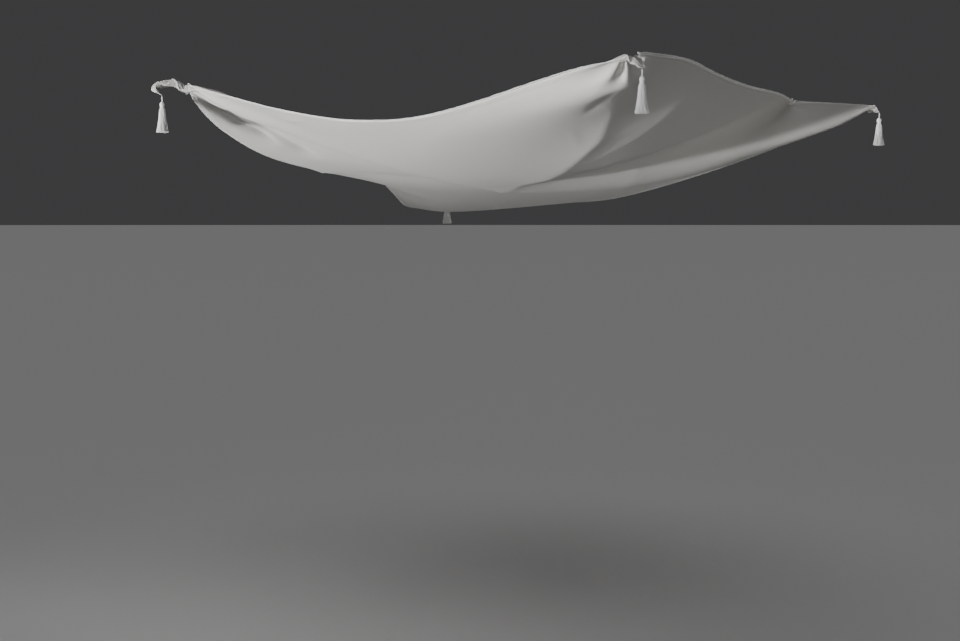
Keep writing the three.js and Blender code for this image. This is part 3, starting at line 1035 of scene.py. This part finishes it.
# Threads hanging around a middle line, as many and as wide as the named inputs say
def threadTree(name, profile):
    tree, given = newTree(name, {
        "Count": ("Int", 10), "Points": ("Int", 12), "Top": ("Float", 0.0), "Length": ("Float", 0.05),
        "Radius": ("Float", 0.01), "Thread": ("Float", 0.0005), "Turns": ("Float", 0.0),
        "Step": ("Float", 0.0), "Fill": ("Float", 0.0), "Ragged": ("Float", 0.0),
        "Wave": ("Float", 0.0), "Seed": ("Int", 1), "Material": ("Material", None)})
    upright = output(tree, "GeometryNodeCurvePrimitiveLine", {"End": (0, 0, -1)})
    line = output(tree, "GeometryNodeResampleCurve",
                  {"Curve": upright, "Count": given["Points"]}, mode="COUNT")
    points = output(tree, "GeometryNodePoints", {"Count": given["Count"]})
    placed = output(tree, "GeometryNodeInstanceOnPoints", {"Points": points, "Instance": line})
    number = output(tree, "GeometryNodeInputIndex")
    numbered = output(tree, "GeometryNodeStoreNamedAttribute",
                      {"Geometry": placed, "Name": "strand", "Value": number},
                      domain="INSTANCE", data_type="FLOAT")
    curves = output(tree, "GeometryNodeRealizeInstances", {"Geometry": numbered})
    strand = namedValue(tree, "strand")
    share = addNode(tree, "GeometryNodeSplineParameter").outputs["Factor"]

    def chance(low, high, extra):
        return randomFloat(tree, low, high, maths(tree, "ADD", given["Seed"], float(extra)), strand)

    def times(*values):
        product = values[0]
        for value in values[1:]:
            product = maths(tree, "MULTIPLY", product, value)
        return product

    outline = addNode(tree, "ShaderNodeFloatCurve", {"Value": share})
    handles = outline.mapping.curves[0].points
    for place, height in profile[1:-1]:
        handles.new(place, height)
    handles[0].location = profile[0]
    handles[len(profile) - 1].location = profile[-1]
    outline.mapping.update()
    filled = maths(tree, "SQRT", maths(tree, "DIVIDE", maths(tree, "ADD", strand, 0.5), given["Count"]))
    inside = maths(tree, "ADD", 1.0, times(given["Fill"], maths(tree, "SUBTRACT", filled, 1.0)))
    radius = times(outline.outputs[0], given["Radius"], inside, chance(0.96, 1.04, 1))
    angle = maths(tree, "ADD", times(strand, given["Step"]), times(share, given["Turns"], 2 * math.pi))
    kept = maths(tree, "SUBTRACT", 1.0, times(given["Ragged"], chance(-1.0, 1.0, 2)))
    depth = maths(tree, "ADD", given["Top"], times(given["Length"], share, kept))
    place = output(tree, "ShaderNodeCombineXYZ", {
        0: times(radius, maths(tree, "COSINE", angle)),
        1: times(radius, maths(tree, "SINE", angle)), 2: times(depth, -1.0)})
    strandsApart, wavesAlong = 7.31, 2.2    # noise cells from strand to strand, and along one
    where = output(tree, "ShaderNodeCombineXYZ", {
        0: times(strand, strandsApart), 1: times(share, wavesAlong), 2: given["Seed"]})
    noise = addNode(tree, "ShaderNodeTexNoise", {"Vector": where, "Scale": 1.0, "Detail": 1.0})
    centred = output(tree, "ShaderNodeVectorMath", {0: noise.outputs["Color"], 1: (0.5, 0.5, 0.5)},
                     operation="SUBTRACT")
    swing = times(given["Wave"], share, 2.0)
    bent = output(tree, "ShaderNodeVectorMath", {0: centred, "Scale": swing}, operation="SCALE")
    final = output(tree, "ShaderNodeVectorMath", {0: place, 1: bent}, operation="ADD")
    moved = output(tree, "GeometryNodeSetPosition", {"Geometry": curves, "Position": final})
    shaded = output(tree, "GeometryNodeStoreNamedAttribute",
                    {"Geometry": moved, "Name": "threadShade", "Value": chance(0.0, 1.0, 3)},
                    domain="POINT", data_type="FLOAT")
    ring = output(tree, "GeometryNodeCurvePrimitiveCircle", {"Resolution": 5, "Radius": given["Thread"]})
    tubes = output(tree, "GeometryNodeCurveToMesh", {
        "Curve": shaded, "Profile Curve": ring, "Fill Caps": True})
    endTree(tree, tubes, given["Material"])
    return tree


def makeTassels():
    finish = threadFinish("tasselThread", tassel, "threadShade")
    trees = {label: threadTree(f"tassel{label}Threads", facts["profile"])
             for label, facts in tasselPieces.items()}
    pieces = []
    for number, corner in enumerate(corners):
        low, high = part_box("tassel_cord_" + corner["node"])
        pivot = Vector(((low.x + high.x) / 2, (low.y + high.y) / 2, high.z - tassel["belowCordTop"]))
        place = Matrix.Translation(pivot) @ Matrix.Rotation(number * tassel["turn"], 4, "Z")
        seed = tassel["firstSeed"] + tassel["seedStep"] * number
        for label, facts in tasselPieces.items():
            name = f"tassel{label}{corner['name']}"
            piece = grow(name, bpy.data.meshes.new(name + "Start"), trees[label],
                         {**facts["inputs"], "Seed": seed, "Material": finish})
            piece.data.transform(place)
            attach(piece, "tassel_" + corner["node"])
            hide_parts(f"{facts['node']}_{corner['node']}")
            pieces.append(piece)
    return pieces


tassels = makeTassels()
report("tassels")

triangles = {piece.name: sum(len(face.vertices) - 2 for face in piece.data.polygons)
             for piece in [canopySheet, *trims, *tassels]}
report(f"triangles: {sum(triangles.values())} in all, most {max(triangles.values())}")

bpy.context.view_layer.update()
report("sizes written")
